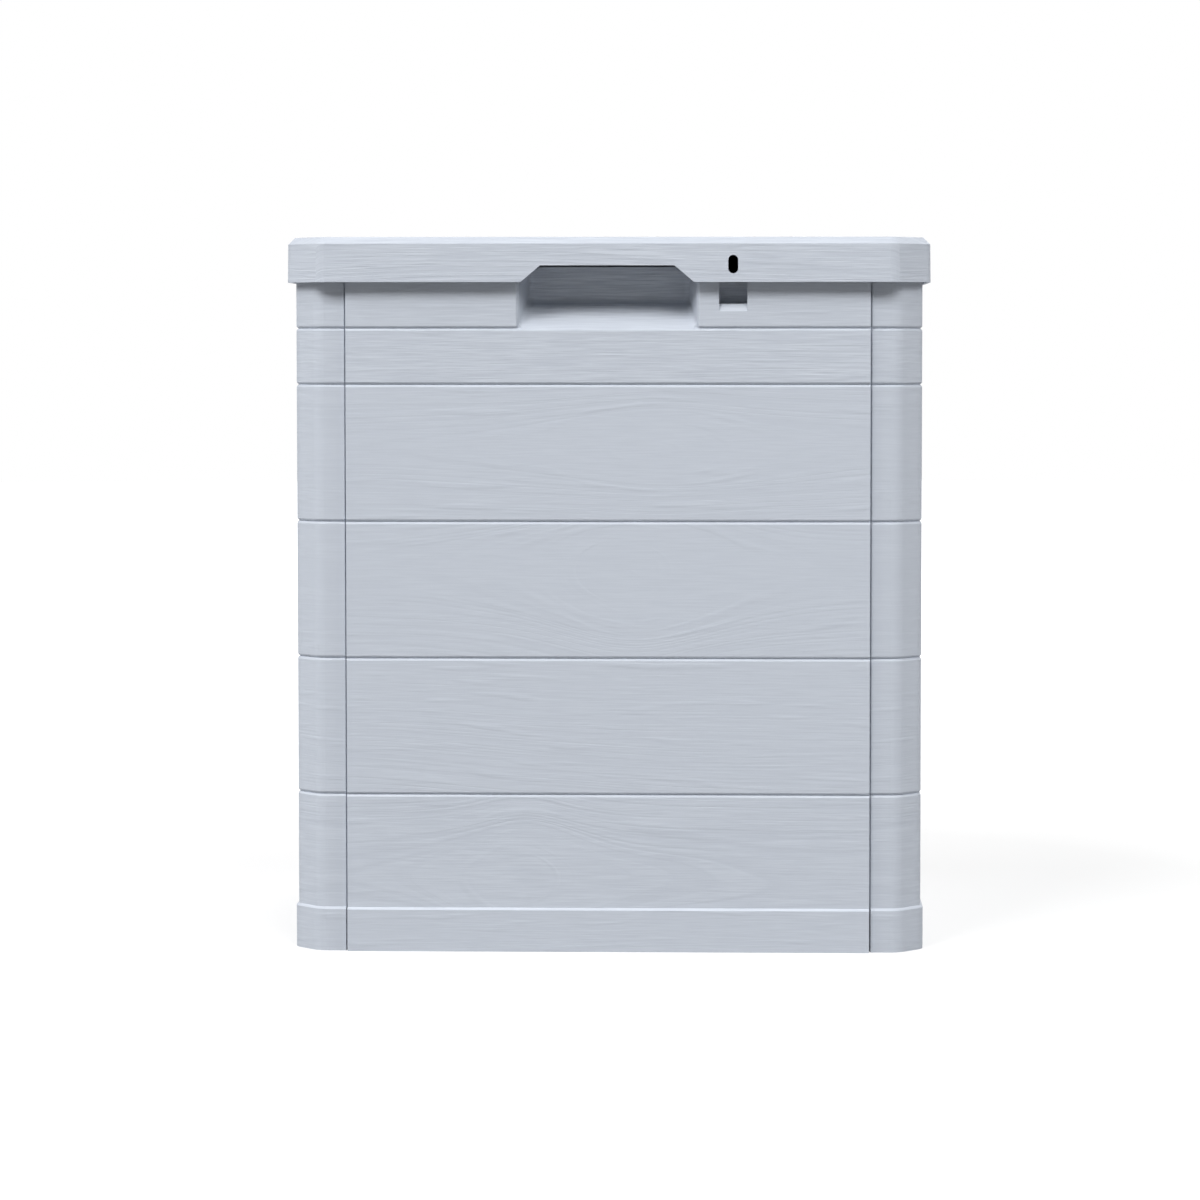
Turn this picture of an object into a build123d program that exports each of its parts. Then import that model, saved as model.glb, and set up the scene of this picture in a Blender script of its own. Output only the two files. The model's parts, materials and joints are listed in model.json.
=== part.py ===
from build123d import *
import math
import os

# A small wood-look resin deck box that is sold flat and snapped together: four moulded walls, a
# floor, a lid and two hinge pins. Sizes are in millimetres and angles in degrees. The origin is on
# the ground under the middle of the lid, X runs to the right as seen from the front, Y to the back
# and Z up, so the front of the box faces -Y.

# Overall sizes
HEIGHT = 495.0
LID_WIDTH = 446.0
LID_DEPTH = 425.0

# Lid
LID_TOP_THICKNESS = 3.0
LID_SEAT_GAP = 0.3
LID_CORNER_CUT = 24.6
LID_CORNER_ROUND = 10.0
LID_EDGE_BEVEL = 4.7
LID_INNER_BEVEL = 0.9
LID_BOARDS = 4
SKIRT_HEIGHT = 31.0
SKIRT_THICKNESS = 2.6
SKIRT_DRAFT = 0.75
LID_RIB_HEIGHT = 7.0
LID_RIB_THICKNESS = 2.0
LID_RIB_MARGIN = 8.0
RIB_SWING_GAP = 2.0
LID_CROSS_RIBS = 3

# Walls
SIDE_OVERHANG = 5.4
FRONT_OVERHANG = 8.0
WALL = 2.6
CORNER_CUT = 17.0
CORNER_ROUND = 12.0
SEAM_INSET = 36.0
SEAM_GAP = 1.1
SEAM_DEPTH = 1.8
RIM_HEIGHT = 9.0
RIM_THICKNESS = 1.6

# Boards moulded into the walls, counted down from the lid
TOP_GROOVE_DROP = 31.7
NARROW_BOARD = 38.8
BOARD_PITCH = 94.7
LEAST_BOARD = 20.0
GROOVE_DEPTH = 1.5
GROOVE_HALF = 1.2
BOARD_EDGE_EASE = 0.5
PLINTH_HEIGHT = 30.6
PLINTH_PROUD = 1.7
PLINTH_BEVEL = 1.6

# Lapped corner joint: a tongue on each side wall runs behind the front and the back wall
TONGUE_WIDTH = 18.0
LAP_CLEARANCE = 0.2
RAIL_THICKNESS = 2.4
RAIL_LIP = 10.0
RAIL_FOOT = 8.0
RAIL_HEAD = 12.0

# Floor and what carries it
FLOOR_LEVEL = 26.0
FLOOR_THICKNESS = 2.6
FLOOR_GAP = 1.0
FLOOR_SEAT_GAP = 0.2
FLOOR_RIB_DEPTH = 7.0
FLOOR_RIB_THICKNESS = 2.0
FLOOR_RIBS = 5
LEDGE_REACH = 10.0
LEDGE_THICKNESS = 2.6
CLIP_REACH = 2.6
CLIP_HEIGHT = 6.0
CLIP_WIDTH = 20.0
CLIP_PLACE = 95.0

# Hand grip: a scoop in the front wall under a cut-out in the lid's skirt
GRIP_WIDTH = 124.0
GRIP_DEPTH = 30.0
GRIP_RISE = 20.4
GRIP_DRAFT = 6.5
GRIP_SCOOP_ROUND = 5.0
GRIP_CORNER_ROUND = 4.0
GRIP_EDGE_ROUND = 2.5
GRIP_BOARD_ROUND = 4.0
GRIP_BACK_DROP = 0.4
CUTOUT_HEIGHT = 11.4
CUTOUT_INSET = 2.4
CUTOUT_SLANT = 13.4
CUTOUT_ROUND = 1.5

# Padlock eye: a slot in the lid's skirt, and a pocket with a lock bar in the front wall behind it
LOCK_FROM_GRIP = 24.5
SLOT_WIDTH = 6.8
SLOT_HEIGHT = 12.7
SLOT_RISE = 12.2
POCKET_WIDTH = 19.4
POCKET_DROP = 20.0
POCKET_DEPTH = 15.0
POCKET_LEDGE_RISE = 5.2
POCKET_LEDGE_DEPTH = 4.0
LOCK_BAR_DEPTH = 5.0
LOCK_BAR_LIFT = 0.4
LOCK_BAR_HEIGHT = 5.0

# Hinges
HINGE_INSET = 51.0
OPEN_ANGLE = 105.0
KNUCKLE_RADIUS = 6.0
KNUCKLE_GAP = 0.4
KNUCKLE_LENGTH = 22.0
KNUCKLE_WEBS = 2
WEB_THICKNESS = 3.0
LUG_THICKNESS = 6.0
LUG_DROP = 21.0
HINGE_SIDE_GAP = 0.4
HEEL_LENGTH = 4.4
STOP_CLEARANCE = 0.3
PIN_RADIUS = 2.5
PIN_PRESS_CLEARANCE = 0.02
PIN_RUNNING_CLEARANCE = 0.06
PIN_HEAD_RADIUS = 4.2
PIN_HEAD_THICKNESS = 2.2
PIN_HEAD_CHAMFER = 0.8
PIN_TIP_LENGTH = 4.0
PIN_BARB = 0.4
PIN_END_GAP = 0.1
PIN_SLOT_WIDTH = 1.0

# Overlap that welds two features of one moulding together, and how far cuts run past a surface
WELD = 0.4
PAST = 10.0

# Places that several pieces share
SKIRT_EDGE = HEIGHT - SKIRT_HEIGHT
LID_CEILING = HEIGHT - LID_TOP_THICKNESS
WALL_TOP = LID_CEILING - LID_SEAT_GAP
HALF_WIDTH = LID_WIDTH / 2 - SIDE_OVERHANG
LID_FRONT = -LID_DEPTH / 2
LID_BACK = LID_DEPTH / 2
FRONT_FACE = LID_FRONT + FRONT_OVERHANG
BACK_FACE = LID_BACK - 2 * KNUCKLE_RADIUS
HINGE_Y = BACK_FACE + KNUCKLE_RADIUS
HINGE_Z = SKIRT_EDGE - KNUCKLE_RADIUS
SET_BACK = WALL + LAP_CLEARANCE
PANEL_HALF = HALF_WIDTH - SEAM_INSET - SEAM_GAP / 2
SEAM_X = PANEL_HALF + SEAM_GAP
HINGE_PLACE = PANEL_HALF - HINGE_INSET
TONGUE_END = SEAM_X - TONGUE_WIDTH
RAIL_WEB = TONGUE_END - LAP_CLEARANCE - RAIL_THICKNESS
LEDGE_TOP = FLOOR_LEVEL - FLOOR_THICKNESS - FLOOR_SEAT_GAP
WALL_INSIDE = WALL - PLINTH_PROUD - WELD
GRIP_FLOOR = SKIRT_EDGE - TOP_GROOVE_DROP - GROOVE_HALF
LOCK_X = GRIP_WIDTH / 2 + LOCK_FROM_GRIP
SLOT_Z = SKIRT_EDGE + SLOT_RISE

# A wall's local frame has its board faces on y = 0 and its inside towards +y
FRONT_PLACE = Pos(0, FRONT_FACE, 0)
BACK_PLACE = Pos(0, BACK_FACE, 0) * Rot(0, 0, 180)
LEFT_PLACE = Pos(-HALF_WIDTH, 0, 0) * Rot(0, 0, -90)


def block(low, high):
    """Block with the given lowest and highest corners."""
    size = [top - bottom for bottom, top in zip(low, high)]
    return Pos(*low) * Box(*size, align=(Align.MIN, Align.MIN, Align.MIN))


def vertices_at(face, points):
    """The vertex of a face that lies at each of the given points."""
    return [face.vertices().sort_by_distance(point)[0] for point in points]


def inner_cut(cut, inset):
    """Corner cut of an outline that is drawn in by inset, so that the two stay parallel."""
    return cut - inset * (2 - math.sqrt(2))


def groove_heights():
    """Heights of the grooves between the boards, from the top down to the last whole board."""
    heights = [SKIRT_EDGE - TOP_GROOVE_DROP]
    heights.append(heights[0] - NARROW_BOARD)
    while heights[-1] - BOARD_PITCH > PLINTH_HEIGHT + LEAST_BOARD:
        heights.append(heights[-1] - BOARD_PITCH)
    return heights


def wall_section(backed):
    """Upright slice of a wall: x points out of the board faces and y is the height.

    The inside of a backed slice follows the boards, and it ends in a rim along the top.
    """
    plinth = [(PLINTH_PROUD, 0), (PLINTH_PROUD, PLINTH_HEIGHT - PLINTH_BEVEL), (0, PLINTH_HEIGHT)]
    boards = []
    for z in sorted(groove_heights()):
        boards += [(0, z - GROOVE_HALF), (-GROOVE_DEPTH, z), (0, z + GROOVE_HALF)]
    inside = [(x - WALL, z) for x, z in (plinth + boards if backed else plinth)]
    if backed:
        rim = -WALL - RIM_THICKNESS
        inside += [(-WALL, WALL_TOP - RIM_HEIGHT - RIM_THICKNESS), (rim, WALL_TOP - RIM_HEIGHT)]
        inside.append((rim, WALL_TOP))
    else:
        inside.append((-WALL, WALL_TOP))
    section = make_face(Polyline(*plinth, *boards, (0, WALL_TOP), *reversed(inside), close=True))
    shoulders = vertices_at(section, [point for point in boards if point[0] == 0])
    return chamfer(shoulders, BOARD_EDGE_EASE)


def floor_seat(half_length):
    """Ledge that carries the floor, and the clips that hold it down, in a wall's local frame."""
    seat = block(
        (-half_length, WALL_INSIDE, LEDGE_TOP - LEDGE_THICKNESS),
        (half_length, WALL + LEDGE_REACH, LEDGE_TOP),
    )
    foot = FLOOR_LEVEL + FLOOR_SEAT_GAP
    reach = WALL + CLIP_REACH
    wedge = Polyline((WALL_INSIDE, foot), (reach, foot), (WALL_INSIDE, foot + CLIP_HEIGHT), close=True)
    for place in (-CLIP_PLACE, CLIP_PLACE):
        seat += extrude(Plane.YZ.offset(place - CLIP_WIDTH / 2) * make_face(wedge), CLIP_WIDTH)
    return seat


def lap_rail():
    """Rail behind the right edge of a flat wall, hooked round the tongue of the side wall."""
    web = RAIL_WEB + RAIL_THICKNESS
    lip = SET_BACK + WALL + LAP_CLEARANCE
    plan = make_face(Polyline(
        (RAIL_WEB, WALL - WELD),
        (web, WALL - WELD),
        (web, lip),
        (web + RAIL_LIP, lip),
        (web + RAIL_LIP, lip + RAIL_THICKNESS),
        (RAIL_WEB, lip + RAIL_THICKNESS),
        close=True,
    ))
    foot = FLOOR_LEVEL + RAIL_FOOT
    return extrude(Pos(0, 0, foot) * plan, WALL_TOP - RAIL_HEAD - foot)


def flat_wall():
    """Boards, rails and floor seat that the front and the back wall share, in the local frame."""
    profile = Plane((0, 0, 0), x_dir=(0, -1, 0), z_dir=(-1, 0, 0))
    lap = PANEL_HALF - RAIL_WEB
    wall = extrude(profile.offset(-RAIL_WEB) * wall_section(True), 2 * RAIL_WEB)
    wall += extrude(profile.offset(-PANEL_HALF) * wall_section(False), lap)
    wall += extrude(profile.offset(RAIL_WEB) * wall_section(False), lap)
    wall += lap_rail() + mirror(lap_rail(), about=Plane.YZ)
    return wall + floor_seat(RAIL_WEB - LEDGE_REACH)


def grip_side_view(skin):
    """Solid as wide as the lid with the side view of the scoop: a floor that rises into the back."""
    slope = GRIP_RISE / GRIP_DEPTH
    back = GRIP_DEPTH + skin
    foot = GRIP_FLOOR - skin * math.hypot(1, slope)
    corner = (back, foot + back * slope)
    view = make_face(Polyline(
        (-PAST, foot - PAST * slope), corner, (back, WALL_TOP + PAST), (-PAST, WALL_TOP + PAST), close=True,
    ))
    view = fillet(vertices_at(view, [corner]), GRIP_SCOOP_ROUND + skin)
    return extrude(Plane.YZ * view, LID_WIDTH / 2, both=True)


def grip_form(skin):
    """Scoop of the hand grip, open to the front and the top, with rounded corners and grown by skin."""
    lean = GRIP_DRAFT / GRIP_DEPTH
    half = GRIP_WIDTH / 2 + skin
    back = GRIP_DEPTH + skin
    mouth = half + PAST * lean
    rear = half - back * lean
    plan = make_face(Polyline((-mouth, -PAST), (mouth, -PAST), (rear, back), (-rear, back), close=True))
    form = grip_side_view(skin) & extrude(Pos(0, 0, GRIP_FLOOR - 2 * PAST) * plan, HEIGHT)
    corners = [
        edge for edge in form.edges()
        if abs(edge.center().X) > rear / 2 and edge.center().Y > -PAST / 2 and edge.center().Z < WALL_TOP
    ]
    return fillet(corners, GRIP_CORNER_ROUND + skin)


def grip_shell():
    """Moulded skin round the hand grip, a wall thickness larger than its space."""
    behind = block((-LID_WIDTH / 2, WALL - WELD, 0), (LID_WIDTH / 2, LID_DEPTH, WALL_TOP))
    return grip_form(WALL) & behind


def board_end():
    """What is cut away to round the lower corner and the edge of the board to the right of the grip."""
    half = GRIP_WIDTH / 2
    edge = GRIP_EDGE_ROUND
    flare = (half + edge, -WELD)
    plan = Polyline(flare, (half + edge, -PAST), (half - edge, -PAST), (half - edge, edge), (half, edge))
    plan += TangentArc((half, edge), flare, tangent=(0, -1))
    rounding = extrude(Pos(0, 0, GRIP_FLOOR - PAST) * make_face(plan), HEIGHT) & grip_side_view(0)
    low = SKIRT_EDGE - TOP_GROOVE_DROP
    size = GRIP_BOARD_ROUND
    corner = Pos(half, low) * Rectangle(size, size, align=(Align.MIN, Align.MIN))
    corner -= Pos(half + size, low + size) * Circle(size)
    return rounding + extrude(Plane.XZ * corner, GROOVE_DEPTH, both=True)


def grip_hollow():
    """Everything that the hand grip takes out of the front wall."""
    hollow = grip_form(0) + board_end() + mirror(board_end(), about=Plane.YZ)
    half = GRIP_WIDTH / 2 + WALL
    front = GRIP_DEPTH - GRIP_CORNER_ROUND - WALL
    top = SKIRT_EDGE + CUTOUT_HEIGHT - GRIP_BACK_DROP
    return hollow + block((-half, front, top), (half, GRIP_DEPTH + PAST, WALL_TOP + PAST))


def pocket_solid(skin, front, top):
    """Lock pocket with its sloping ledge, from the depth front up to the height top, grown by skin."""
    back = POCKET_DEPTH + skin
    slope = POCKET_LEDGE_RISE / POCKET_LEDGE_DEPTH
    foot = SKIRT_EDGE - POCKET_DROP - skin * math.hypot(1, slope)
    shelf = SKIRT_EDGE - POCKET_DROP + POCKET_LEDGE_RISE - skin
    turn = (shelf - foot) / slope
    half = POCKET_WIDTH / 2 + skin
    side = make_face(Polyline(
        (front, foot + front * slope), (turn, shelf), (back, shelf), (back, top), (front, top), close=True,
    ))
    return extrude(Plane.YZ.offset(LOCK_X - half) * side, 2 * half)


def lock_bar():
    """Bar across the pocket that the shackle of a padlock goes round, hidden by the lid's skirt."""
    low = SKIRT_EDGE + LOCK_BAR_LIFT
    half = POCKET_WIDTH / 2 + WELD
    return block((LOCK_X - half, 0, low), (LOCK_X + half, LOCK_BAR_DEPTH, low + LOCK_BAR_HEIGHT))


def shackle_window():
    """Opening in the back of the lock pocket above the lock bar, where a shackle swings through."""
    half = POCKET_WIDTH / 2 - WELD
    low = SKIRT_EDGE + LOCK_BAR_LIFT + LOCK_BAR_HEIGHT
    return block((LOCK_X - half, LOCK_BAR_DEPTH, low), (LOCK_X + half, POCKET_DEPTH + PAST, WALL_TOP + PAST))


def front_panel():
    """Front wall: boards, hand grip and lock pocket."""
    wall = flat_wall() + grip_shell() + pocket_solid(WALL, WALL - WELD, WALL_TOP)
    wall -= grip_hollow()
    wall -= pocket_solid(0, -PAST, WALL_TOP + PAST)
    wall -= shackle_window()
    return FRONT_PLACE * (wall + lock_bar())


def hinge_bore(clearance):
    """Round hole for the hinge pin, long enough to pass a whole hinge."""
    reach = KNUCKLE_LENGTH + 2 * LUG_THICKNESS + PAST
    return Pos(0, HINGE_Y, HINGE_Z) * Rot(0, 90, 0) * Cylinder(PIN_RADIUS + clearance, reach)


def hinge_lug():
    """Lug on the back wall: a boss round the pin that runs down into the wall as a gusset."""
    root = BACK_FACE - WALL / 2
    boss = Pos(HINGE_Y, HINGE_Z) * Circle(KNUCKLE_RADIUS)
    seat = Line((root, HINGE_Z + KNUCKLE_RADIUS), (root, HINGE_Z - LUG_DROP))
    outline = make_hull(boss.edges() + seat.edges())
    return extrude(Plane.YZ * outline, LUG_THICKNESS / 2, both=True)


def back_panel():
    """Back wall: boards and two pairs of hinge lugs."""
    wall = BACK_PLACE * flat_wall()
    spread = (KNUCKLE_LENGTH + LUG_THICKNESS) / 2 + HINGE_SIDE_GAP
    for hinge in (-HINGE_PLACE, HINGE_PLACE):
        for lug in (hinge - spread, hinge + spread):
            wall += Pos(lug, 0, 0) * hinge_lug()
        wall -= Pos(hinge, 0, 0) * hinge_bore(PIN_PRESS_CLEARANCE)
    return wall


def tongue():
    """Tongue of the left wall seen from above, set off from the wall's face by the groove of the seam."""
    plan = make_face(Polyline(
        (-SEAM_X - WELD, SEAM_DEPTH),
        (-PANEL_HALF, SEAM_DEPTH),
        (-PANEL_HALF, 0),
        (-TONGUE_END, 0),
        (-TONGUE_END, WALL),
        (-SEAM_X - WELD, WALL),
        close=True,
    ))
    return extrude(plan, WALL_TOP)


def left_side_panel():
    """Left wall: one moulding that wraps round both its corners and ends in two tongues."""
    front = FRONT_FACE + SET_BACK
    back = BACK_FACE - SET_BACK
    bend = HALF_WIDTH - CORNER_CUT
    path = FilletPolyline(
        (-SEAM_X, front),
        (-bend, front),
        (-HALF_WIDTH, front + CORNER_CUT),
        (-HALF_WIDTH, back - CORNER_CUT),
        (-bend, back),
        (-SEAM_X, back),
        radius=CORNER_ROUND,
    )
    start = Plane((-SEAM_X, front, 0), x_dir=(0, -1, 0), z_dir=(-1, 0, 0))
    wall = sweep(start * wall_section(True), path)
    wall += Pos(0, front, 0) * tongue()
    wall += Pos(0, back, 0) * mirror(tongue(), about=Plane.XZ)
    straight = (back - front) / 2 - CORNER_CUT - LEDGE_REACH
    middle = (front + back) / 2
    return wall + Pos(0, middle, 0) * LEFT_PLACE * floor_seat(straight)


def floor_panel():
    """Floor: a plate notched round the four tongues, with a grid of ribs underneath."""
    middle = (FRONT_FACE + BACK_FACE) / 2
    depth = (BACK_FACE - FRONT_FACE) / 2
    inset = WALL + FLOOR_GAP
    wide = Rectangle(2 * (HALF_WIDTH - inset), 2 * (depth - SET_BACK - inset))
    wide = chamfer(wide.vertices(), inner_cut(CORNER_CUT, inset))
    deep = Rectangle(2 * (TONGUE_END - FLOOR_GAP), 2 * (depth - inset))
    plate = extrude(Pos(0, 0, FLOOR_LEVEL - FLOOR_THICKNESS) * (wide + deep), FLOOR_THICKNESS)
    low = FLOOR_LEVEL - FLOOR_THICKNESS - FLOOR_RIB_DEPTH
    high = FLOOR_LEVEL - FLOOR_THICKNESS + WELD
    reach_x = HALF_WIDTH - inset - LEDGE_REACH - FLOOR_RIB_THICKNESS
    reach_y = depth - SET_BACK - inset - LEDGE_REACH - FLOOR_RIB_THICKNESS
    half = FLOOR_RIB_THICKNESS / 2
    for index in range(FLOOR_RIBS):
        share = 2 * index / (FLOOR_RIBS - 1) - 1
        x = share * (reach_x - half)
        y = share * (reach_y - half)
        plate += block((x - half, -reach_y, low), (x + half, reach_y, high))
        plate += block((-reach_x, y - half, low), (reach_x, y + half, high))
    return Pos(0, middle, 0) * plate


def lid_plan(inset):
    """Outline of the lid with its corners cut off and softened, drawn in by inset."""
    plan = Rectangle(LID_WIDTH - 2 * inset, LID_DEPTH - 2 * inset)
    plan = chamfer(plan.vertices(), inner_cut(LID_CORNER_CUT, inset))
    return fillet(plan.vertices(), max(LID_CORNER_ROUND - inset, WELD))


def lid_grooves():
    """Places of the grooves between the boards of the lid's top, from front to back."""
    pitch = LID_DEPTH / LID_BOARDS
    return [LID_FRONT + pitch * index for index in range(1, LID_BOARDS)]


def lid_boards():
    """Slab whose upper side has the grooves of the lid's boards, running from left to right."""
    top = [(LID_FRONT - PAST, HEIGHT)]
    for y in lid_grooves():
        top += [(y - GROOVE_HALF, HEIGHT), (y, HEIGHT - GROOVE_DEPTH), (y + GROOVE_HALF, HEIGHT)]
    top.append((LID_BACK + PAST, HEIGHT))
    slab = make_face(Polyline(
        (LID_FRONT - PAST, HINGE_Z - PAST), *top, (LID_BACK + PAST, HINGE_Z - PAST), close=True,
    ))
    shoulders = vertices_at(slab, [point for point in top[1:-1] if point[1] == HEIGHT])
    return extrude(Plane.YZ * chamfer(shoulders, BOARD_EDGE_EASE), LID_WIDTH, both=True)


def lid_block(inset, top, bevel):
    """Solid with the lid's outline drawn in by inset, from the skirt's edge up to a bevelled top."""
    solid = extrude(Pos(0, 0, SKIRT_EDGE) * lid_plan(inset), top - SKIRT_EDGE, taper=SKIRT_DRAFT)
    return chamfer(solid.faces().sort_by(Axis.Z)[-1].edges(), bevel)


def lid_shell():
    """Lid top with its boards, its bevelled upper edge and its skirt."""
    shell = lid_block(0, HEIGHT, LID_EDGE_BEVEL)
    hollow = lid_block(SKIRT_THICKNESS, LID_CEILING, LID_INNER_BEVEL)
    return (shell & lid_boards()) - hollow


def lid_ribs_back():
    """Rearmost place of the ribs, from where they swing up clear of the back wall's rim."""
    rim = math.hypot(KNUCKLE_RADIUS + WALL + RIM_THICKNESS, WALL_TOP - HINGE_Z)
    rise = LID_CEILING - LID_RIB_HEIGHT - HINGE_Z
    return HINGE_Y - math.sqrt((rim + RIB_SWING_GAP) ** 2 - rise ** 2)


def lid_ribs():
    """Ribs under the lid's top: a ring inside the walls and behind the hand grip, and a grid in it."""
    inset = WALL + RIM_THICKNESS + LID_RIB_MARGIN
    front = FRONT_FACE + GRIP_DEPTH + WALL + LID_RIB_MARGIN
    back = lid_ribs_back()
    reach = HALF_WIDTH - inset
    ring = Pos(0, (front + back) / 2) * Rectangle(2 * reach, back - front)
    ring = chamfer(ring.vertices(), inner_cut(CORNER_CUT, inset))
    grid = ring - offset(ring, -LID_RIB_THICKNESS)
    for y in lid_grooves():
        grid += Pos(0, y) * Rectangle(2 * reach, LID_RIB_THICKNESS)
    for index in range(1, LID_CROSS_RIBS + 1):
        x = (2 * index / (LID_CROSS_RIBS + 1) - 1) * reach
        grid += Pos(x, (front + back) / 2) * Rectangle(LID_RIB_THICKNESS, back - front)
    return extrude(Pos(0, 0, LID_CEILING - LID_RIB_HEIGHT) * grid, LID_RIB_HEIGHT + WELD)


def grip_cutout():
    """Cut-out in the lid's front skirt over the hand grip."""
    low = GRIP_WIDTH / 2 - CUTOUT_INSET
    high = low - CUTOUT_SLANT
    top = SKIRT_EDGE + CUTOUT_HEIGHT
    spread = CUTOUT_SLANT * PAST / CUTOUT_HEIGHT
    shape = make_face(Polyline(
        (-low - spread, SKIRT_EDGE - PAST), (-high, top), (high, top), (low + spread, SKIRT_EDGE - PAST),
        close=True,
    ))
    shape = fillet(vertices_at(shape, [(-high, top), (high, top)]), CUTOUT_ROUND)
    face = Plane((0, LID_FRONT, 0), x_dir=(1, 0, 0), z_dir=(0, -1, 0))
    return extrude(face * shape, SKIRT_THICKNESS + WELD, both=True)


def padlock_slot():
    """Upright slot through the lid's front skirt for the shackle of a padlock."""
    shape = SlotOverall(SLOT_HEIGHT, SLOT_WIDTH, rotation=90)
    face = Plane((LOCK_X, LID_FRONT, SLOT_Z), x_dir=(1, 0, 0), z_dir=(0, -1, 0))
    return extrude(face * shape, SKIRT_THICKNESS + WELD, both=True)


def lid_knuckle():
    """Hinge knuckle of the lid, hung from webs whose heels stop the lid when it is open."""
    radius = KNUCKLE_RADIUS - KNUCKLE_GAP
    centre = Pos(HINGE_Y, HINGE_Z)
    barrel = centre * Circle(radius)
    front = HINGE_Y - radius
    back = LID_BACK - SKIRT_THICKNESS / 2
    neck = make_hull(barrel.edges() + Line((front, SKIRT_EDGE), (back, SKIRT_EDGE)).edges())
    stem = Pos((front + back) / 2, (SKIRT_EDGE + LID_CEILING) / 2) * Rectangle(
        back - front, LID_CEILING - SKIRT_EDGE + WELD,
    )
    stop = KNUCKLE_RADIUS - STOP_CLEARANCE
    heel = Pos(-stop / 2, -HEEL_LENGTH / 2) * Rectangle(stop, HEEL_LENGTH)
    web = neck + stem + centre * Rot(0, 0, OPEN_ANGLE) * heel
    knuckle = extrude(Plane.YZ * barrel, KNUCKLE_LENGTH / 2, both=True)
    spread = (KNUCKLE_LENGTH - WEB_THICKNESS) / (KNUCKLE_WEBS - 1)
    for index in range(KNUCKLE_WEBS):
        x = index * spread - KNUCKLE_LENGTH / 2
        knuckle += extrude(Plane.YZ.offset(x) * web, WEB_THICKNESS)
    return knuckle - hinge_bore(PIN_RUNNING_CLEARANCE)


def lid():
    """Lid: planked top, skirt with cut-out and lock slot, ribs and two hinge knuckles."""
    cover = lid_shell() + lid_ribs()
    for hinge in (-HINGE_PLACE, HINGE_PLACE):
        cover += Pos(hinge, 0, 0) * lid_knuckle()
    return cover - grip_cutout() - padlock_slot()


def left_hinge_pin():
    """Headed pin of the left hinge, with a split barbed tip that snaps in behind the inner lug."""
    half = KNUCKLE_LENGTH / 2 + HINGE_SIDE_GAP + LUG_THICKNESS + PIN_END_GAP
    head = -half - PIN_HEAD_THICKNESS
    tip = half + PIN_TIP_LENGTH
    outline = make_face(Polyline(
        (head, 0),
        (head, PIN_HEAD_RADIUS - PIN_HEAD_CHAMFER),
        (head + PIN_HEAD_CHAMFER, PIN_HEAD_RADIUS),
        (-half, PIN_HEAD_RADIUS),
        (-half, PIN_RADIUS),
        (half, PIN_RADIUS),
        (half, PIN_RADIUS + PIN_BARB),
        (tip, PIN_RADIUS - 2 * PIN_BARB),
        (tip, 0),
        close=True,
    ))
    pin = revolve(outline, Axis.X)
    slot = PIN_SLOT_WIDTH / 2
    pin -= block((half - LUG_THICKNESS, -slot, -PAST), (tip + PAST, slot, PAST))
    return Pos(-HINGE_PLACE, HINGE_Y, HINGE_Z) * pin


PIECES = {
    "front_panel": front_panel(),
    "back_panel": back_panel(),
    "left_side_panel": left_side_panel(),
    "right_side_panel": mirror(left_side_panel(), about=Plane.YZ),
    "floor_panel": floor_panel(),
    "lid": lid(),
    "left_hinge_pin": left_hinge_pin(),
    "right_hinge_pin": mirror(left_hinge_pin(), about=Plane.YZ),
}

os.makedirs("parts", exist_ok=True)
for name, piece in PIECES.items():
    export_step(piece, f"parts/{name}.step")
    print(name, "volume", round(piece.volume), "mm3")
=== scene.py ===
# %% [markdown]
# # Dressing a resin deck box
#
# The object is a small upright deck box of moulded polypropylene: four planked walls that lap at
# the corners, a floor, a hinged lid and two hinge pins. Its shapes are CAD solids, so this lesson is
# about what the solids lack: the wood grain that the mould presses into every board, the dull sheen
# of the resin, a part of each hinge, and light that shows it all.

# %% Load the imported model
import json
import math

import bmesh
import bpy
from mathutils import Matrix, Vector


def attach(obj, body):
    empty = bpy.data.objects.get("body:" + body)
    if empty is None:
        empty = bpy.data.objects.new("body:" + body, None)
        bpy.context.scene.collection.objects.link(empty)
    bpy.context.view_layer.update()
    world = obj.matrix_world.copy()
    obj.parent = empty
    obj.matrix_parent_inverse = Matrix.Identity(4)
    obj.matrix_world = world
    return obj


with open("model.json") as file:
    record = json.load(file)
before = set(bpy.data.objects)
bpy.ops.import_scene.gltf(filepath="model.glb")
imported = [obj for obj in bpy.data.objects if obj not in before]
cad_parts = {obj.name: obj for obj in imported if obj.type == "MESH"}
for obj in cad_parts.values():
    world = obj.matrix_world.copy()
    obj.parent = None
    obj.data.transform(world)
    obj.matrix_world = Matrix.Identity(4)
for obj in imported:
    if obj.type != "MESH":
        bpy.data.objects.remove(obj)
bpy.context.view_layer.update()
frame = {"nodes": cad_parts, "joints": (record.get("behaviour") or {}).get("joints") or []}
MM = 0.001

# %% [markdown]
# ## Colours and nodes
#
# Colours are written as the sRGB hex values that a paint program shows. Shaders work in linear
# light, so one function converts them. A second small function adds a shader node, sets it up and
# links it, which keeps the recipes below readable from top to bottom.


# %% Helpers for colours and nodes
def linear(hex_colour):
    """Linear RGBA of an sRGB hex colour."""
    channels = [int(hex_colour[i:i + 2], 16) / 255 for i in (0, 2, 4)]
    return [c / 12.92 if c <= 0.04045 else ((c + 0.055) / 1.055) ** 2.4 for c in channels] + [1.0]


def add(tree, kind, inputs, **settings):
    """Adds a shader node, applies its settings, and sets or links its inputs."""
    node = tree.nodes.new("ShaderNode" + kind)
    for name, value in settings.items():
        setattr(node, name, value)
    for key, value in inputs.items():
        if isinstance(value, bpy.types.NodeSocket):
            tree.links.new(value, node.inputs[key])
        else:
            node.inputs[key].default_value = value
    return node


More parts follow.
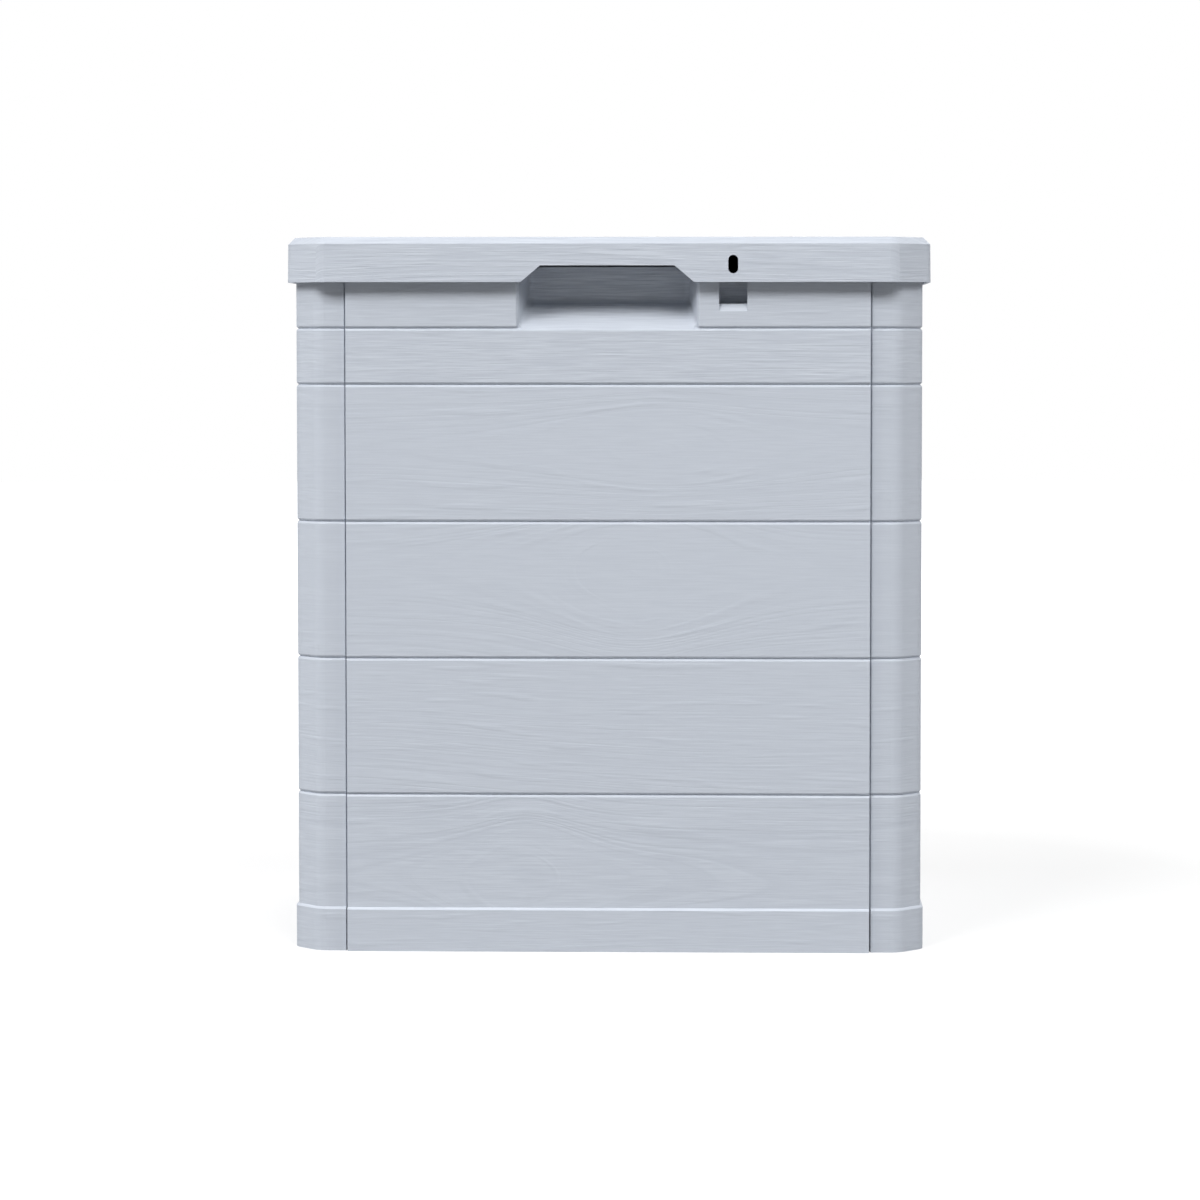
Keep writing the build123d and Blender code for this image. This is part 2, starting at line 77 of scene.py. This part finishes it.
print("middle grey in linear light:", round(linear("808080")[0], 3))

# %% [markdown]
# ## The figure of each board
#
# In the photo no two boards have the same grain. Most carry long straight lines, one shows a closed
# eye, and the lowest has tall arches. All of these are level lines of one simple hill: round the
# heart of the figure the lines close into ovals, above and below it they bend over it, and far away
# they run straight. So a board needs only a heart, a length and a height, and one formula draws it.
# Some boards are also etched more boldly than others, with more painted shade in their hollows: the
# narrow one under the grip stands out most.
#
# The boards could be told apart by painting each face. A colour ramp with hard steps does the same
# from the height alone. The four channels of one ramp carry the figure, and a second ramp carries the
# contrast.

# %% Figures of the wall boards and of the lid's boards
# Each row says where a board starts, then its figure: the heart along and across the boards, its
# length and its height, in millimetres. A heart far outside its board leaves nearly straight lines.
# The last number is the board's contrast.
WALL_BOARDS = [
    (0.0, 60.0, -70.0, 90.0, 30.0, 0.6),
    (30.6, -58.0, 52.0, 46.0, 40.0, 0.75),
    (109.4, -190.0, 40.0, 160.0, 60.0, 0.45),
    (204.1, 18.0, 264.0, 70.0, 48.0, 0.4),
    (298.8, 40.0, 350.0, 80.0, 26.0, 0.4),
    (393.5, 150.0, 330.0, 120.0, 26.0, 1.0),
    (432.3, -120.0, 560.0, 120.0, 34.0, 0.6),
]
WALL_SPAN = (0.0, 495.0)
LID_BOARDS = [
    (-250.0, -60.0, -330.0, 120.0, 40.0, 1.0),
    (-212.5, 70.0, -150.0, 90.0, 34.0, 1.0),
    (-106.2, -90.0, -160.0, 160.0, 60.0, 1.0),
    (0.0, 40.0, 55.0, 70.0, 40.0, 1.0),
    (106.2, -40.0, 260.0, 150.0, 50.0, 1.0),
]
LID_SPAN = (-250.0, 250.0)


def board_figure(tree, across, boards, span):
    """The board that a point is on: heart along, across, length and height in metres, and contrast."""
    low, high = span
    place = add(tree, "MapRange", {0: across, 1: low * MM, 2: high * MM})
    figure, contrast = (add(tree, "ValToRGB", {0: place.outputs[0]}) for _ in range(2))
    for ramp in (figure.color_ramp, contrast.color_ramp):
        ramp.interpolation = "CONSTANT"
        ramp.elements.remove(ramp.elements[-1])
    for start, along, heart, length, height, bold in boards:
        # A stop can't hold a negative number, so the two places are stored with a metre added.
        numbers = (1 + along * MM, 1 + heart * MM, length * MM, height * MM)
        for ramp, colour in ((figure.color_ramp, numbers), (contrast.color_ramp, (bold, bold, bold, 1))):
            stop = ramp.elements[0] if start == low else ramp.elements.new((start - low) / (high - low))
            stop.color = colour
    places = add(tree, "VectorMath", {0: figure.outputs["Color"], 1: (1, 1, 0)}, operation="SUBTRACT")
    places = add(tree, "SeparateXYZ", {0: places.outputs[0]}).outputs
    return *places, figure.outputs["Alpha"], contrast.outputs["Color"]


print("wall boards with the plinth:", len(WALL_BOARDS), " lid boards with the skirt:", len(LID_BOARDS))

# %% [markdown]
# ## Moulded wood grain
#
# The mould was etched from real wood, so the resin shows three things. Hairlines a millimetre or two
# wide run straight along the boards. Growth lines follow the hill, close together round the figure
# and lost farther out; inside the closed ovals the wood is plain. Here and there a low swell, about
# half a centimetre wide, catches the light. An image could be wrapped round the box, but noise that is
# stretched along the boards needs no image and never repeats. A slow drift pushes the lines about by
# a few millimetres, so that none is ruled straight.

# %% Grain height
HAIRLINE = 1.1 * MM
HAIRLINE_RUN = 26 * MM
GROWTH_LINE = 3.6 * MM
GROWTH_RUN = 420 * MM
SWELL = 6 * MM
SWELL_RUN = 55 * MM
DRIFT = 9 * MM
DRIFT_RUN = 230 * MM
DRIFT_WIDTH = 45 * MM
SEED_STEP = 29
PLAIN_DETAIL = 1.0
FINE_DETAIL = 2.0
MIDDLE = 0.5
# Where the raw noise turns into hollows and ridges.
HAIRLINE_BAND = (0.3, 0.7)
GROWTH_EDGE = 0.09
SWELL_BAND = (0.55, 0.8)
# Where the growth lines stop inside a figure and fade outside it, counted in heights of the figure.
PLAIN_HEART = (0.8, 1.0)
FADING = (1.3, 3.0)
FADED = 0.8


def stretched_noise(tree, along, across, seed, run, width, detail):
    """Noise from 0 to 1 whose spots are run long and width wide; seed makes each board different."""
    spot = add(tree, "CombineXYZ", {0: along, 1: across, 2: seed})
    squeeze = (1 / run, 1 / width, SEED_STEP)
    spot = add(tree, "VectorMath", {0: spot.outputs[0], 1: squeeze}, operation="MULTIPLY")
    return add(tree, "TexNoise", {"Vector": spot.outputs[0], "Scale": 1.0, "Detail": detail}).outputs[0]


def grain(tree, along, across, boards, span):
    """Hairlines, growth lines and swells, each from 0 in its hollows to 1 on its ridges, and contrast."""
    heart_along, heart_across, length, height, bold = board_figure(tree, across, boards, span)
    east = add(tree, "Math", {0: along, 1: heart_along}, operation="SUBTRACT")
    turn = add(tree, "Math", {0: east.outputs[0], 1: length}, operation="ARCTAN2")
    swing = add(tree, "Math", {0: turn.outputs[0]}, operation="SINE")
    side = add(tree, "Math", {0: swing.outputs[0], 1: height}, operation="MULTIPLY")
    north = add(tree, "Math", {0: across, 1: heart_across}, operation="SUBTRACT")
    hill = add(tree, "CombineXYZ", {0: side.outputs[0], 1: north.outputs[0]})
    hill = add(tree, "VectorMath", {0: hill.outputs[0]}, operation="LENGTH").outputs["Value"]
    drift = stretched_noise(tree, along, across, heart_across, DRIFT_RUN, DRIFT_WIDTH, PLAIN_DETAIL)
    level = add(tree, "Math", {0: drift, 1: DRIFT, 2: hill}, operation="MULTIPLY_ADD").outputs[0]
    hairline = stretched_noise(tree, along, across, heart_across, HAIRLINE_RUN, HAIRLINE, FINE_DETAIL)
    hairline = add(tree, "MapRange", {0: hairline, 1: HAIRLINE_BAND[0], 2: HAIRLINE_BAND[1]}).outputs[0]
    growth = stretched_noise(tree, along, level, heart_across, GROWTH_RUN, GROWTH_LINE, PLAIN_DETAIL)
    growth = add(tree, "Math", {0: growth, 1: MIDDLE}, operation="SUBTRACT")
    growth = add(tree, "Math", {0: growth.outputs[0]}, operation="ABSOLUTE")
    lines = {0: growth.outputs[0], 1: 0.0, 2: GROWTH_EDGE}
    growth = add(tree, "MapRange", lines, interpolation_type="SMOOTHSTEP")
    ring = add(tree, "Math", {0: hill, 1: height}, operation="DIVIDE").outputs[0]
    inside = add(tree, "MapRange", {0: ring, 1: PLAIN_HEART[0], 2: PLAIN_HEART[1], 3: 1.0, 4: 0.0})
    outside = add(tree, "MapRange", {0: ring, 1: FADING[0], 2: FADING[1], 3: 0.0, 4: FADED})
    plain = add(tree, "Math", {0: inside.outputs[0], 1: outside.outputs[0]}, operation="MAXIMUM")
    growth = add(tree, "Math", {0: growth.outputs[0], 1: plain.outputs[0]}, operation="MAXIMUM")
    swell = stretched_noise(tree, along, level, heart_across, SWELL_RUN, SWELL, PLAIN_DETAIL)
    humps = {0: swell, 1: SWELL_BAND[0], 2: SWELL_BAND[1]}
    swell = add(tree, "MapRange", humps, interpolation_type="SMOOTHSTEP")
    return hairline, growth.outputs[0], swell.outputs[0], bold


print("hairlines", HAIRLINE / MM, "mm wide, growth lines about every", GROWTH_LINE / MM, "mm")

# %% [markdown]
# ## Grained polypropylene
#
# The walls and the lid are injection-moulded polypropylene, dyed through in a cool light grey.
# Unpainted polypropylene is dull and slightly waxy: it mirrors little, with an index of refraction
# of 1.49, and its ridges are polished a touch smoother by the mould than its hollows. The grain's
# hollows are also painted a darker grey and its ridges a lighter one: painted shade and painted light
# of the relief, on top of its real bump. The insides are left plain by the mould, so the grain is kept
# to the faces that look away from the middle.


# %% Recipe for grained resin
# The hollow colour is painted shade and the ridge colour painted light: the relief's shading in the colour.
RIDGE_PAINTED_LIGHT_COLOUR = "c4cad3"
HOLLOW_PAINTED_SHADE_COLOUR = "b7bdc7"
HAIRLINE_DEPTH = 0.06 * MM
GROWTH_DEPTH = 0.09 * MM
SWELL_DEPTH = 0.13 * MM
GROWTH_SHADE = 0.4
HOLLOW_ROUGHNESS = 0.7
RIDGE_ROUGHNESS = 0.58
RESIN_IOR = 1.49
SHEEN = 0.3


def grained_resin(name, along, across, outward, boards, span, stronger=1.0):
    """Finishes a resin whose tree has its grain's directions and outward mask; stronger adds contrast."""
    tree = bpy.data.materials[name].node_tree
    hairline, growth, swell, bold = grain(tree, along, across, boards, span)
    bold = add(tree, "Math", {0: bold, 1: stronger}, operation="MULTIPLY").outputs[0]
    # Growth lines pull the lines towards the hollows, so they get painted shade as well as rougher resin.
    shade = add(tree, "MapRange", {0: growth, 3: GROWTH_SHADE, 4: 1.0}).outputs[0]
    lines = add(tree, "Math", {0: hairline, 1: shade}, operation="MULTIPLY").outputs[0]
    lines = add(tree, "Math", {0: lines, 1: MIDDLE}, operation="SUBTRACT").outputs[0]
    lines = add(tree, "Math", {0: lines, 1: bold, 2: MIDDLE}, operation="MULTIPLY_ADD", use_clamp=True)
    lines = add(tree, "Mix", {0: outward, 2: MIDDLE, 3: lines.outputs[0]}, data_type="FLOAT").outputs[0]
    # Painted shade and light: the grain's hollows get the darker colour, its ridges the lighter one.
    colour = add(
        tree, "Mix", {0: lines, 6: linear(HOLLOW_PAINTED_SHADE_COLOUR), 7: linear(RIDGE_PAINTED_LIGHT_COLOUR)}, data_type="RGBA",
    )
    rough = add(tree, "MapRange", {0: lines, 3: HOLLOW_ROUGHNESS, 4: RIDGE_ROUGHNESS})
    height = add(tree, "Math", {0: swell, 1: SWELL_DEPTH}, operation="MULTIPLY").outputs[0]
    for part, depth in ((hairline, HAIRLINE_DEPTH), (growth, GROWTH_DEPTH)):
        etched = add(tree, "Math", {0: part, 1: bold}, operation="MULTIPLY").outputs[0]
        height = add(tree, "Math", {0: etched, 1: depth, 2: height}, operation="MULTIPLY_ADD").outputs[0]
    height = add(tree, "Math", {0: height, 1: outward}, operation="MULTIPLY").outputs[0]
    bump = add(tree, "Bump", {"Height": height, "Strength": 1.0, "Distance": 1.0})
    resin = add(
        tree, "BsdfPrincipled",
        {
            "Base Color": colour.outputs[2],
            "Roughness": rough.outputs[0],
            "IOR": RESIN_IOR,
            "Specular IOR Level": SHEEN,
            "Normal": bump.outputs[0],
        },
    )
    add(tree, "OutputMaterial", {"Surface": resin.outputs[0]})


def new_material(name):
    """Empty node material."""
    material = bpy.data.materials.new(name)
    material.use_nodes = True
    material.node_tree.nodes.clear()
    return material


print("grain depths in mm:", [depth / MM for depth in (HAIRLINE_DEPTH, GROWTH_DEPTH, SWELL_DEPTH)])

# %% [markdown]
# ## Walls
#
# On the front and back walls the boards run along X. A side wall is one moulding that wraps round
# two corners, so there the grain follows the bend: its run is the way along the wall, measured from
# the middle of the side. Everything is read from Object coordinates and the object's own normal, so
# the grain stays put when a piece moves. The back of the hand grip has bolder lines than the boards in
# the photo, so on the front wall the contrast, and with it the painted shade in the hollows, grows with
# the depth.

# %% Front, back and side walls
GRIP_STRONGER = 4.0
GRIP_START = -196 * MM
GRIP_BACK = -180 * MM
SIDE_FACE = 217.6 * MM
FACING = 40 * MM


def wall_resin(name, node, turned):
    """Grained resin for a wall: turned is 1 along X, -1 back along X, and 0 round the corners."""
    tree = new_material(name).node_tree
    seat = add(tree, "TexCoord", {})
    x, y, z = add(tree, "SeparateXYZ", {0: seat.outputs["Object"]}).outputs
    if turned:
        along = add(tree, "Math", {0: x, 1: turned}, operation="MULTIPLY").outputs[0]
    else:
        width = add(tree, "Math", {0: x}, operation="ABSOLUTE")
        inset = add(tree, "Math", {0: SIDE_FACE, 1: width.outputs[0]}, operation="SUBTRACT")
        end = add(tree, "Math", {0: y}, operation="SIGN")
        along = add(
            tree, "Math", {0: end.outputs[0], 1: inset.outputs[0], 2: y}, operation="MULTIPLY_ADD",
        ).outputs[0]
    level = add(tree, "VectorMath", {0: seat.outputs["Object"], 1: (1, 1, 0)}, operation="MULTIPLY")
    facing = add(
        tree, "VectorMath", {0: level.outputs[0], 1: seat.outputs["Normal"]}, operation="DOT_PRODUCT",
    )
    outward = add(tree, "MapRange", {0: facing.outputs["Value"], 1: 0.0, 2: FACING})
    stronger = 1.0
    if node == "front_panel":
        # Deeper in the grip the lines grow bolder, painted shade in the hollows included.
        depth = add(tree, "MapRange", {0: y, 1: GRIP_START, 2: GRIP_BACK, 3: 1.0, 4: GRIP_STRONGER})
        stronger = depth.outputs[0]
    grained_resin(name, along, z, outward.outputs[0], WALL_BOARDS, WALL_SPAN, stronger)
    frame["nodes"][node].data.materials[0] = bpy.data.materials[name]
    print("grained:", node)


wall_resin("grained_polypropylene_front", "front_panel", 1)
wall_resin("grained_polypropylene_back", "back_panel", -1)
wall_resin("grained_polypropylene_left", "left_side_panel", 0)
wall_resin("grained_polypropylene_right", "right_side_panel", 0)

# %% [markdown]
# ## Lid
#
# The lid's boards lie flat and run from left to right, and their grain folds over the bevelled front
# edge into the skirt. Adding height to depth gives one measure across the boards that does just
# that. The skirt's left and right sides are the exception: there the lines run level round the
# corner, so the faces that look sideways measure across by height alone. The lid's hairlines are
# bolder than those of the walls.

# %% Lid
LID_TOP = 495 * MM
LID_FRONT = 212.5 * MM
LID_MIDDLE = 470 * MM
LID_FACING = 10 * MM
SIDEWAYS = 0.6


def lid_resin(name, node):
    """Grained resin for the lid."""
    tree = new_material(name).node_tree
    seat = add(tree, "TexCoord", {})
    x, y, z = add(tree, "SeparateXYZ", {0: seat.outputs["Object"]}).outputs
    normal = add(tree, "SeparateXYZ", {0: seat.outputs["Normal"]}).outputs
    sideways = add(tree, "Math", {0: normal[0]}, operation="ABSOLUTE")
    sideways = add(tree, "Math", {0: sideways.outputs[0], 1: SIDEWAYS}, operation="GREATER_THAN").outputs[0]
    drop = add(tree, "Math", {0: z, 1: LID_TOP}, operation="SUBTRACT").outputs[0]
    folded = add(tree, "Math", {0: y, 1: drop}, operation="ADD").outputs[0]
    skirt = add(tree, "Math", {0: drop, 1: LID_FRONT}, operation="SUBTRACT").outputs[0]
    across = add(tree, "Mix", {0: sideways, 2: folded, 3: skirt}, data_type="FLOAT").outputs[0]
    along = add(tree, "Mix", {0: sideways, 2: x, 3: y}, data_type="FLOAT").outputs[0]
    middle = (0, 0, LID_MIDDLE)
    level = add(tree, "VectorMath", {0: seat.outputs["Object"], 1: middle}, operation="SUBTRACT")
    facing = add(
        tree, "VectorMath", {0: level.outputs[0], 1: seat.outputs["Normal"]}, operation="DOT_PRODUCT",
    )
    outward = add(tree, "MapRange", {0: facing.outputs["Value"], 1: 0.0, 2: LID_FACING})
    grained_resin(name, along, across, outward.outputs[0], LID_BOARDS, LID_SPAN)
    frame["nodes"][node].data.materials[0] = bpy.data.materials[name]
    print("grained:", node)


lid_resin("grained_polypropylene_lid", "lid")

# %% [markdown]
# ## Floor panel and hinge pins
#
# The floor and the pins are moulded in the same resin without grain. A smooth mould still leaves a
# faint orange-peel ripple a few millimetres across, which breaks up the sheen.

# %% Smooth resin
RIPPLE = 6 * MM
RIPPLE_DEPTH = 0.05 * MM
RIPPLE_COLOURS = ("b9bfc9", "c3c9d2")
RIPPLE_ROUGHNESS = (0.5, 0.6)
smooth_resin = new_material("smooth_polypropylene")
tree = smooth_resin.node_tree
seat = add(tree, "TexCoord", {})
ripple = add(tree, "TexNoise", {"Vector": seat.outputs["Object"], "Scale": 1 / RIPPLE, "Detail": FINE_DETAIL})
tints = [linear(colour) for colour in RIPPLE_COLOURS]
tint = add(tree, "Mix", {0: ripple.outputs[0], 6: tints[0], 7: tints[1]}, data_type="RGBA")
dull = add(tree, "MapRange", {0: ripple.outputs[0], 3: RIPPLE_ROUGHNESS[0], 4: RIPPLE_ROUGHNESS[1]})
peel = add(tree, "Bump", {"Height": ripple.outputs[0], "Strength": 1.0, "Distance": RIPPLE_DEPTH})
resin = add(
    tree, "BsdfPrincipled",
    {
        "Base Color": tint.outputs[2],
        "Roughness": dull.outputs[0],
        "IOR": RESIN_IOR,
        "Specular IOR Level": SHEEN,
        "Normal": peel.outputs[0],
    },
)
add(tree, "OutputMaterial", {"Surface": resin.outputs[0]})
for node in ("floor_panel", "left_hinge_pin", "right_hinge_pin"):
    frame["nodes"][node].data.materials[0] = smooth_resin
    print("smooth:", node)

# %% [markdown]
# ## Hinge knuckles
#
# Between the two lugs of a hinge the lid's knuckle turns on the pin: a barrel that hangs from the lid
# on two webs. The lid's solid has only the right-hand web of each hinge, so the other web and the
# barrel are made here and ride on the lid.
#
# A barrel could be spun and a web boxed, and the two joined. Here one drawing gives both, as a closed
# shell with no joint to clean up. It starts as a flat ring round the pin. The ring's upper half is
# drawn up to the lid, and a piece of its lower half is drawn out to the heel that stops the lid. Pushed
# sideways, all of it becomes the web, and then the ring alone goes on as the barrel.

# %% Left and right knuckles
HINGE_PLACE = 130.05 * MM
KNUCKLE_LENGTH = 22 * MM
WEB_THICKNESS = 3 * MM
KNUCKLE_RADIUS = 5.6 * MM
BORE_RADIUS = 2.56 * MM
KNUCKLE_SEGMENTS = 48
WEB_TOP = 492.2 * MM
WEB_BACK = 210.2 * MM
HEEL_CORNER = Vector((5.72 * MM, -4.37 * MM, 0))
HEEL_ARC = (-76, 1)
ROUND_LIMIT = 30
RIM_SLACK = 1.001
_, HINGE_Y, HINGE_Z = frame["joints"][0]["pos_m"]


def drawn_out(bm, edges):
    """New points, one for each end of these edges, joined to them by faces."""
    made = bmesh.ops.extrude_edge_only(bm, edges=edges)["geom"]
    return [point for point in made if isinstance(point, bmesh.types.BMVert)]


def pushed(bm, faces, way):
    """The faces' copy, a way further along the hinge, with the walls between."""
    made = bmesh.ops.extrude_face_region(bm, geom=faces)["geom"]
    bmesh.ops.translate(bm, verts=[v for v in made if isinstance(v, bmesh.types.BMVert)], vec=(0, 0, way))
    return [face for face in made if isinstance(face, bmesh.types.BMFace)]


def lid_knuckle(name, place):
    """One web and the barrel of a hinge, drawn flat, back to the right, and then turned into place."""
    bm = bmesh.new()
    rim = bmesh.ops.create_circle(bm, segments=KNUCKLE_SEGMENTS, radius=KNUCKLE_RADIUS)["verts"]
    rim_edges = bm.edges[:]
    bmesh.ops.create_circle(bm, segments=KNUCKLE_SEGMENTS, radius=BORE_RADIUS)
    bmesh.ops.bridge_loops(bm, edges=bm.edges[:])
    turn = {v: math.degrees(math.atan2(v.co.y, v.co.x)) for v in rim}
    upper = [edge for edge in rim_edges if sum(v.co.y for v in edge.verts) > 0]
    heel = [edge for edge in rim_edges if all(HEEL_ARC[0] < turn[v] < HEEL_ARC[1] for v in edge.verts)]
    top = drawn_out(bm, upper)
    width = WEB_BACK - HINGE_Y + KNUCKLE_RADIUS
    bmesh.ops.scale(bm, verts=top, vec=(width / (2 * KNUCKLE_RADIUS), 0, 1))
    bmesh.ops.translate(bm, verts=top, vec=(width / 2 - KNUCKLE_RADIUS, WEB_TOP - HINGE_Z, 0))
    bmesh.ops.pointmerge(bm, verts=drawn_out(bm, heel), merge_co=HEEL_CORNER)
    web = pushed(bm, bm.faces[:], WEB_THICKNESS)
    reach = KNUCKLE_RADIUS * RIM_SLACK
    barrel = [face for face in web if all(v.co.xy.length < reach for v in face.verts)]
    pushed(bm, barrel, KNUCKLE_LENGTH - 2 * WEB_THICKNESS)
    bmesh.ops.delete(bm, geom=barrel, context="FACES")
    bmesh.ops.recalc_face_normals(bm, faces=bm.faces[:])
    for face in bm.faces:
        face.smooth = True
    for edge in bm.edges:
        edge.smooth = edge.calc_face_angle() < math.radians(ROUND_LIMIT)
    start = place - KNUCKLE_LENGTH / 2
    seat = Matrix(((0, 0, 1, start), (1, 0, 0, HINGE_Y), (0, 1, 0, HINGE_Z), (0, 0, 0, 1)))
    bmesh.ops.transform(bm, matrix=seat, verts=bm.verts[:])
    mesh = bpy.data.meshes.new(name)
    bm.to_mesh(mesh)
    bm.free()
    mesh.materials.append(smooth_resin)
    knuckle = bpy.data.objects.new(name, mesh)
    bpy.context.scene.collection.objects.link(knuckle)
    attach(knuckle, "lid")
    print(name, "faces:", len(mesh.polygons))


lid_knuckle("left_lid_knuckle", -HINGE_PLACE)
lid_knuckle("right_lid_knuckle", HINGE_PLACE)

# %% [markdown]
# ## Floor and light
#
# The photo is a studio shot on white. The bevelled upper edges and the floor of the hand grip are
# the brightest, and the grip's back is dark right up to its corners, so most of the light comes from
# the front and from high up. One box on the middle line would shine into the upright seams, which
# are dark in the photo, so two soft boxes stand to the left and right of it. The cut corners are
# nearly as bright as the front, the left one more than the right, so two weaker boxes stand far out
# to the sides. A fifth one lights the back, which the photo doesn't show.
#
# A white floor would throw light up into the grip. So it looks white to the camera and keeps the
# shadow there, but it sends only a little light back to the object. The world does the same.


# %% Rays that see the studio
def seen(tree):
    """1 for rays that show the studio, straight or by a mirror or glass, 0 for rays that light the object."""
    ray = add(tree, "LightPath", {}).outputs
    shown = ray["Is Camera Ray"]
    for way in ("Is Glossy Ray", "Is Transmission Ray"):
        shown = add(tree, "Math", {0: shown, 1: ray[way]}, operation="MAXIMUM").outputs[0]
    return shown


print("studio white in linear light:", linear("ffffff")[0])

# %% Studio floor
FLOOR_RADIUS = 9.0
FLOOR_SEGMENTS = 96
FLOOR_COLOUR = "969696"
NEAR_FLOOR = 0.5
FAR_FLOOR = 1.5
NEAR_GLOW = 0.68
bm = bmesh.new()
bmesh.ops.create_circle(bm, cap_ends=True, segments=FLOOR_SEGMENTS, radius=FLOOR_RADIUS)
floor_mesh = bpy.data.meshes.new("studio_floor")
bm.to_mesh(floor_mesh)
bm.free()
studio_floor = bpy.data.objects.new("studio_floor", floor_mesh)
bpy.context.scene.collection.objects.link(studio_floor)
floor_paint = new_material("matt_white_paint")
floor_mesh.materials.append(floor_paint)
tree = floor_paint.node_tree
seat = add(tree, "TexCoord", {})
away = add(tree, "VectorMath", {0: seat.outputs["Object"]}, operation="LENGTH")
near = add(tree, "MapRange", {0: away.outputs["Value"], 1: NEAR_FLOOR, 2: FAR_FLOOR, 3: NEAR_GLOW, 4: 1.0})
white = add(tree, "Math", {0: seen(tree), 1: near.outputs[0]}, operation="MULTIPLY")
paint = add(tree, "BsdfDiffuse", {"Color": linear(FLOOR_COLOUR)})
glow = add(tree, "Emission", {"Color": linear("ffffff"), "Strength": white.outputs[0]})
lit = add(tree, "AddShader", {0: paint.outputs[0], 1: glow.outputs[0]})
add(tree, "OutputMaterial", {"Surface": lit.outputs[0]})
print("floor radius in m:", FLOOR_RADIUS)

# %% World
WORLD_LIGHT = 0.06
world = bpy.data.worlds.new("white_studio")
bpy.context.scene.world = world
world.use_nodes = True
tree = world.node_tree
tree.nodes.clear()
strength = add(tree, "MapRange", {0: seen(tree), 3: WORLD_LIGHT, 4: 1.0})
sky = add(tree, "Background", {"Color": linear("ffffff"), "Strength": strength.outputs[0]})
add(tree, "OutputWorld", {"Surface": sky.outputs[0]})
print("world light:", WORLD_LIGHT)


# %% Soft boxes
BOX_DISTANCE = 14.0
BOX_SIZE = 5.0
OBJECT_MIDDLE = Vector((0, 0, 0.25))


def soft_box(name, azimuth, elevation, power):
    """Square lamp that looks at the object from an azimuth, counted from the front to the right."""
    side, rise = math.radians(azimuth), math.radians(elevation)
    way = Vector((math.sin(side) * math.cos(rise), -math.cos(side) * math.cos(rise), math.sin(rise)))
    light = bpy.data.lights.new(name, "AREA")
    light.size = BOX_SIZE
    light.energy = power
    lamp = bpy.data.objects.new(name, light)
    bpy.context.scene.collection.objects.link(lamp)
    lamp.location = OBJECT_MIDDLE + BOX_DISTANCE * way
    lamp.rotation_euler = (-way).to_track_quat("-Z", "Y").to_euler()
    print(name, "at", [round(c, 2) for c in lamp.location])


soft_box("front_left_soft_box", -34, 46, 1200)
soft_box("front_right_soft_box", 24, 46, 855)
soft_box("left_soft_box", -75, 32, 765)
soft_box("right_soft_box", 75, 32, 600)
soft_box("rear_soft_box", 170, 35, 870)

# %% [markdown]
# ## Camera
#
# In the photo the lines of the boards climb where they turn round the cut corners, more so the lower
# they are, and the right corner shows a little more than the left. So the eye is about level with
# the lid's skirt and a little to the right. The upright seams stay nearly parallel, which a tilted
# camera wouldn't give: the picture was shifted down to the box, as with a view camera. A small lens
# shift and a slight tilt share that work here.

# %% Camera
FRONT_FACE = -204.5 * MM
PIXEL = 0.6892 * MM
FRAME_PIXELS = 1200
DISTANCE = 2.6
EYE = Vector((95 * MM, FRONT_FACE - DISTANCE, 420 * MM))
TARGET = Vector((-5.2 * MM, FRONT_FACE, 245.0 * MM))
SHIFT = (-0.04, -0.05)
frame_width = FRAME_PIXELS * PIXEL
camera = bpy.data.cameras.new("camera")
camera.angle = 2 * math.atan(frame_width / 2 / DISTANCE)
camera.shift_x, camera.shift_y = SHIFT
eye = bpy.data.objects.new("camera", camera)
bpy.context.scene.collection.objects.link(eye)
bpy.context.scene.camera = eye
eye.location = EYE
aim = TARGET - Vector((SHIFT[0] * frame_width, 0, SHIFT[1] * frame_width))
eye.rotation_euler = (aim - EYE).to_track_quat("-Z", "Y").to_euler()
bpy.context.scene.view_settings.view_transform = "Standard"
print("view angle in degrees:", round(math.degrees(camera.angle), 2))
